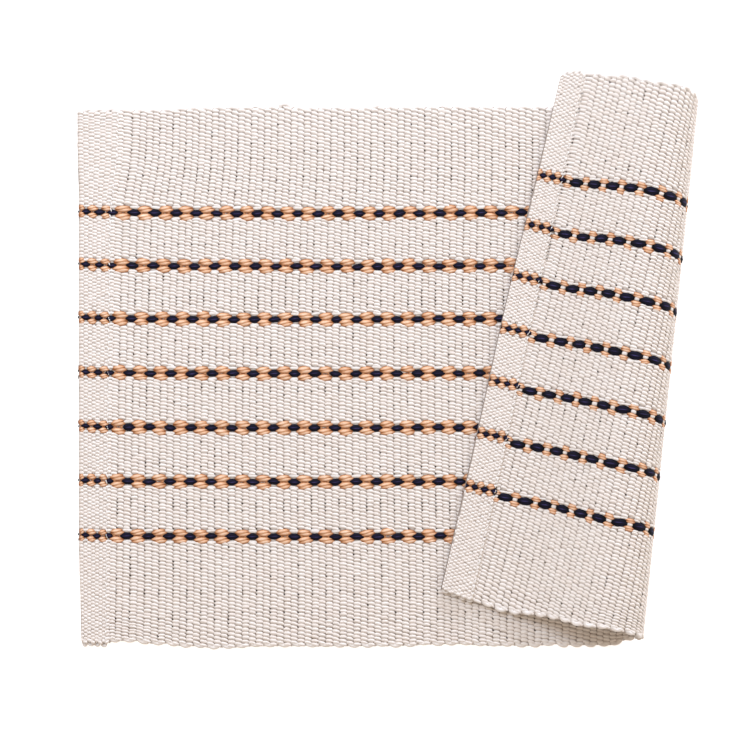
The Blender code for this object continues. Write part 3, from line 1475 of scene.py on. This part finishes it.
@dataclass
class HemStitches:
    """The seam of one hem: short slanted stitches, on both faces."""

    cloth: Cloth
    far: bool
    place: float = 17.4
    pitch: float = 3.7
    length: float = 2.9
    slant: float = 1.1
    thread: Tube = Tube(0.28, 0.18, 6, 2, 3.0)
    top: float = 1.02
    sunk: float = 0.90
    fall: float = 0.35
    place_error: float = 0.15
    points: int = 5

    def build(self, finish: Material) -> Piece:
        """Make both rows of stitches.

        Along a stitch, t from -1 to 1: s = seam + slant t / 2,
        v = middle - length t / 2, and the height falls as t^4 to the cloth.

        Args:
            finish: their material.

        Returns:
            The new piece.
        """
        middle = np.arange(self.pitch, WIDTH - self.pitch / 2.0, self.pitch)[:, None]
        t = np.linspace(-1.0, 1.0, self.points)[None, :]
        seam = LENGTH - self.place if self.far else self.place
        parts = []
        for face in Face:
            chance = np.random.default_rng(Seed.STITCHES.value + face.value + 10 * self.far)
            s = seam + chance.normal(0.0, self.place_error, middle.shape) + self.slant * t / 2.0
            top = self.top if self.far == (face is Face.BACK) else self.sunk
            path = join(s, middle - self.length * t / 2.0, top - self.fall * t ** 4)
            strip = FAR_STRIP if self.far and face is Face.BACK else None
            tint = chance.random(len(middle))
            parts.append(self.thread.sweep(self.cloth, path, face, tint, strip))
        return build_piece("far_hem_stitches" if self.far else "left_hem_stitches", parts, finish)


@dataclass
class GapShadeBowls:
    """Painted shade: small dark bowls where the floats of every second pick dive, coloured as the
    shade in the openings there.
    """

    cloth: Cloth
    weave: Weave
    radii: Pair = (0.52, 0.42)
    sizes: Pair = (0.7, 1.15)
    turn: float = math.radians(-38.0)
    rim: float = 0.82
    floor: float = 0.30
    bottom: float = 0.05
    off_row: Pair = (0.3, 1.4)
    seam_from: float = 185.0
    seam_margin: float = 8.0
    seam_share: float = 0.75
    seam_place: Pair = (-0.45, 0.28)
    ring: int = 7
    wide_pick: float = 3.0
    open_rows: float = 0.24
    open_share: float = 0.80
    stray_share: float = 0.07
    back_share: float = 0.35
    shown: float = 0.4
    chart_tile: Pair = (0.45, 0.9)

    def places(self, face: Face) -> Array:
        """Choose the openings: nearly all in some rows, a few in the others.

        More of them line the far part of the far seam, and lie a little higher, as painted shadow
        along the seam.

        Args:
            face: side of the cloth.

        Returns:
            Rows of s, v and extra height.
        """
        back = face is Face.BACK
        picks = self.weave.back() if back else self.weave.front()
        picks = picks.only((picks.number % 2 == 0) & (picks.width > self.wide_pick))
        side = picks.start + picks.width * (not back)
        chance = np.random.default_rng(Seed.GAPS.value + face.value)
        found = []
        for low, high in self.weave.bands():
            rows = round((high - low) / self.weave.row_pitch)
            v = low + (high - low) / rows * np.arange(rows) + self.off_row[back]
            share = np.where(chance.random(rows) < self.open_rows, self.open_share, self.stray_share)
            share = share * (self.back_share if back else 1.0)
            taken = chance.random((len(side), rows)) < share[None, :]
            s, v = np.broadcast_arrays(side[:, None], v[None, :])
            found.append(np.stack([s[taken], v[taken], 0.0 * v[taken]]))
        if back:
            v = np.arange(self.seam_from, WIDTH - self.seam_margin, self.weave.row_pitch)
            v = v[chance.random(len(v)) < self.seam_share]
            along, lift = self.seam_place
            found.append(np.stack([self.cloth.seam(v) + along, v, lift + 0.0 * v]))
        found = np.concatenate(found, axis=1)
        return found[:, self.cloth.seen(found[0], found[1], face)]

    def build(self, finish: Material) -> Piece:
        """Make every opening: an oval bowl in the dark gap colour, painted shade, turned askew, open
        outwards.

        With r 0 at the bottom and 1 at the rim and p round it, the point is
        the middle plus r (radii cos p, radii sin p) turned, and the height
        rises from floor to rim as r.

        Args:
            finish: its material.

        Returns:
            The new piece.
        """
        parts = []
        r = np.array([self.bottom, 1.0])[None, :, None]
        step = np.arange(self.ring + 1)[None, None, :] / self.ring
        for face in Face:
            s0, v0, lift = (row[:, None, None] for row in self.places(face))
            chance = np.random.default_rng(Seed.GAP_SIZES.value + face.value)
            size = chance.uniform(*self.sizes, s0.shape)
            p = face.value * 2.0 * np.pi * step[..., :-1]
            x, y = size * r * self.radii[0] * np.cos(p), size * r * self.radii[1] * np.sin(p)
            turn = face.value * self.turn
            s = s0 + x * math.cos(turn) - y * math.sin(turn)
            v = v0 + x * math.sin(turn) + y * math.cos(turn)
            height = lift + self.floor + (self.rim - self.floor) * r
            wide, tall = self.chart_tile
            level = (np.arange(len(s0))[:, None, None] + tall * r) / len(s0)
            places = join(0.5 * (face is Face.BACK) + wide * step, level)
            points = self.cloth.lay(s, v, height, float(face.value))
            # Painted shade: the bowl's exposure is lowest at its bottom.
            thread = join(s, v, self.shown * r)
            parts.append(Grids(points, thread, size[:, 0, 0], places, closed=True))
        return build_piece("gap_shade_bowls", parts, finish)


@dataclass(frozen=True)
class Lamp:
    """A round soft light: its direction in degrees, power, size and tint."""

    name: str
    azimuth: float
    elevation: float
    power: float
    size: float
    tint: str

    def hang(self, distance: float) -> None:
        """Hang the lamp, turned to the middle of the mat.

        Args:
            distance: how far off, in metres.
        """
        lamp = bpy.data.lights.new(self.name, "AREA")
        lamp.shape = "DISK"
        lamp.size = self.size
        lamp.energy = self.power
        lamp.color = linear(self.tint)[:3]
        holder = bpy.data.objects.new(self.name, lamp)
        turn, lift = math.radians(self.azimuth), math.radians(self.elevation)
        direction = Vector((math.cos(lift) * math.cos(turn), math.cos(lift) * math.sin(turn),
                            math.sin(lift)))
        holder.location = direction * distance
        holder.rotation_euler = direction.to_track_quat("Z", "Y").to_euler()
        bpy.context.scene.collection.objects.link(holder)


@dataclass
class Studio:
    """Pale floor, soft light from the far side and the right, and the camera."""

    mat_corner: tuple[float, float, float]
    camera_aim: Pair = (180.95, 165.6)
    camera_height: float = 1440.0
    camera_range: Pair = (0.05, 20.0)
    picture_scale: float = 0.6134
    picture_width: int = 750
    sensor: float = 36.0
    table_reach: float = 2.0
    table_drop: float = 0.0003
    grain: float = 40.0
    sky: float = 0.66
    sky_tint: str = "FFEEDC"
    glow: float = 0.52
    lamp_distance: float = 2.0
    lamps: tuple[Lamp, ...] = (
        Lamp("key", 126.0, 50.0, 26.0, 1.0, "DBEAFF"),
        Lamp("window", 75.0, 12.0, 41.0, 0.7, "DCEAFF"),
        Lamp("side", 28.0, 26.0, 9.5, 1.1, "E6F0FF"),
    )

    def build(self) -> None:
        """Make the floor, the lights and the camera."""
        self.floor()
        self.lights()
        self.camera()

    def floor(self) -> None:
        """Lay a pale table top just under the mat."""
        reach = np.linspace(-self.table_reach, self.table_reach, 9)
        x, y = np.meshgrid(reach, reach, indexing="ij")
        points = join(x, y, np.float64(-self.table_drop))[None]
        chart = join(x, y)[None] / (2.0 * self.table_reach) + 0.5
        paint = bpy.data.materials.new("pale_table")
        paint.use_nodes = True
        tree = paint.node_tree
        grain = add_node(tree, "ShaderNodeTexNoise", {"Scale": self.grain})
        shade = add_node(tree, "ShaderNodeMix",
                         {"data_type": "RGBA", 6: linear("FAFAF9"), 7: linear("FDFDFC")},
                         {0: grain.outputs["Fac"]})
        shader = tree.nodes["Principled BSDF"]
        tree.links.new(shade.outputs[2], shader.inputs["Base Color"])
        for name, value in (("Roughness", 0.8), ("Specular IOR Level", 0.1),
                            ("Emission Color", linear("FFFFFF")), ("Emission Strength", self.glow)):
            shader.inputs[name].default_value = value
        floor = build_piece("floor", [Grids(points, points, np.array([0.0]), chart)], paint)

    def lights(self) -> None:
        """Hang the soft lights and let a pale room fill the rest."""
        room = bpy.data.worlds.new("pale_room")
        room.use_nodes = True
        back = room.node_tree.nodes["Background"]
        back.inputs["Color"].default_value = linear(self.sky_tint)
        back.inputs["Strength"].default_value = self.sky
        bpy.context.scene.world = room
        for lamp in self.lamps:
            lamp.hang(self.lamp_distance)
        bpy.context.scene.view_settings.view_transform = "Standard"

    def camera(self) -> None:
        """Look straight down on the middle of the picture."""
        eye = bpy.data.cameras.new("camera")
        eye.sensor_width = self.sensor
        eye.lens = self.sensor * self.camera_height / (self.picture_scale * self.picture_width)
        eye.clip_start, eye.clip_end = self.camera_range
        holder = bpy.data.objects.new("camera", eye)
        aim = (*self.camera_aim, self.camera_height + THICK)
        holder.location = [low + along * MM for low, along in zip(self.mat_corner, aim)]
        bpy.context.scene.collection.objects.link(holder)
        bpy.context.scene.camera = holder


@dataclass
class Placemat:
    """The whole mat: the core sheet and every thread on it."""

    cloth: Cloth
    weave: Weave
    pieces: list[Piece] = field(default_factory=list)

    def take(self, piece: Piece) -> Piece:
        """Let a piece ride with the mat, and log its triangles.

        Args:
            piece: the new piece.

        Returns:
            The same piece.
        """
        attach(piece, BODY)
        self.pieces.append(piece)
        log.info("%s: %d triangles", piece.name, 2 * len(piece.data.polygons))
        return piece

    def build(self) -> None:
        cloth, weave = self.cloth, self.weave
        natural, weft = NATURAL_COTTON.make(), WEFT_IN_PAINTED_SHADE.make()
        core = self.take(CoreSheet(cloth, weave).build(weft))
        bands = [GroundFloats(cloth, weave, number, *sides)
                 for number, sides in enumerate(weave.bands())]
        for band in bands:
            self.take(band.build(natural))
        for far, name in enumerate(("left_hem_strip", "far_hem_strip")):
            strip = build_piece(name, [band.strip(bool(far)) for band in bands], natural)
            self.take(strip)
        self.stripes(weft)
        for side in Side:
            self.take(Selvedge(cloth, weave, side).build(weft))
        thread = SEWING_THREAD.make()
        for far in (False, True):
            self.take(HemStitches(cloth, far).build(thread))
        self.take(GapShadeBowls(cloth, weave).build(GAP_SHADE_PAINT.make()))
        self.declare()

    def stripes(self, weft: Material) -> None:
        """Make the three pieces of every stripe.

        Args:
            weft: material of the cross threads.
        """
        dress = {Yarn.TAN: (TAN_YARN.make(), "tan_yarn"),
                 Yarn.NAVY: (NAVY_YARN.make(), "navy_yarn"),
                 Yarn.WEFT: (weft, "natural_cotton")}
        for number, middle in enumerate(self.weave.stripes):
            stripe = Stripe(self.cloth, self.weave, number, middle)
            for yarn, (finish, slot) in dress.items():
                name = f"{yarn.value}_{number}"
                self.take(build_piece(name, stripe.parts(yarn), finish))

    def declare(self) -> None:
        """Hide the mat's own part, so that the core and the threads take its place.
        """
        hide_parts(MAT_NODE)


def main() -> None:
    """Build the mat, then the studio round it."""
    logging.basicConfig(level=logging.INFO, format="%(message)s")
    corner = tuple(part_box(MAT_NODE)[0])
    Placemat(Cloth(origin=corner), Weave()).build()
    Studio(mat_corner=corner).build()


if __name__ == "__main__":
    main()
